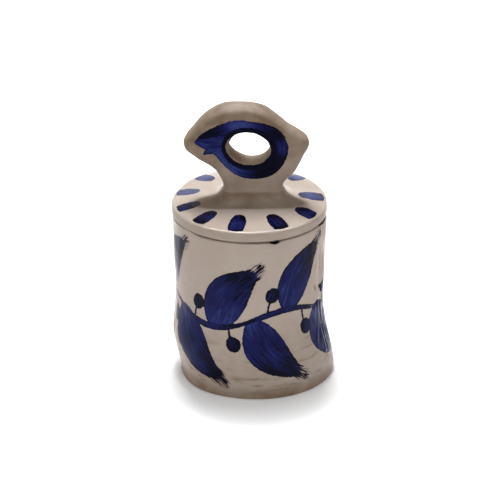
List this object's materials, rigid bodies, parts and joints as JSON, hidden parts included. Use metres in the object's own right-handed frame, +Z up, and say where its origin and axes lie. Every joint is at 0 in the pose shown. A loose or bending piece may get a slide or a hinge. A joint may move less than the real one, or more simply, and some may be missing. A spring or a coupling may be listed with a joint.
{
  "type": "lidded ceramic box",
  "caption": "Slab-built cylindrical ceramic box with a low-domed lift-off lid, a locating ring under it and a pierced eye-shaped handle on a flared foot.",
  "frame": {"origin": "on the table, in the flat underside of the base, straight below the centre of the mouth", "axes": "+Z up through the mouth and the lid; +X to the right when the eye faces the viewer, the way the foot leans; +Y away from the viewer, through the eye's hole"},
  "size_m": [0.1263, 0.1206, 0.2221],
  "materials": {
    "glaze": "glossy"
  },
  "bodies": {
    "jar": {"jar_wall": "glaze", "jar_base": "glaze", "corner_coil": "glaze"},
    "lid": {"lid_slab": "glaze", "lid_ring": "glaze", "eye_handle": "glaze", "handle_coil": "glaze"}
  },
  "joints": [
    {"name": "lid_lift", "type": "slide", "parent": "jar", "child": "lid", "axis": [0, 0, 1], "range_m": [0, 0.1]}
  ]
}
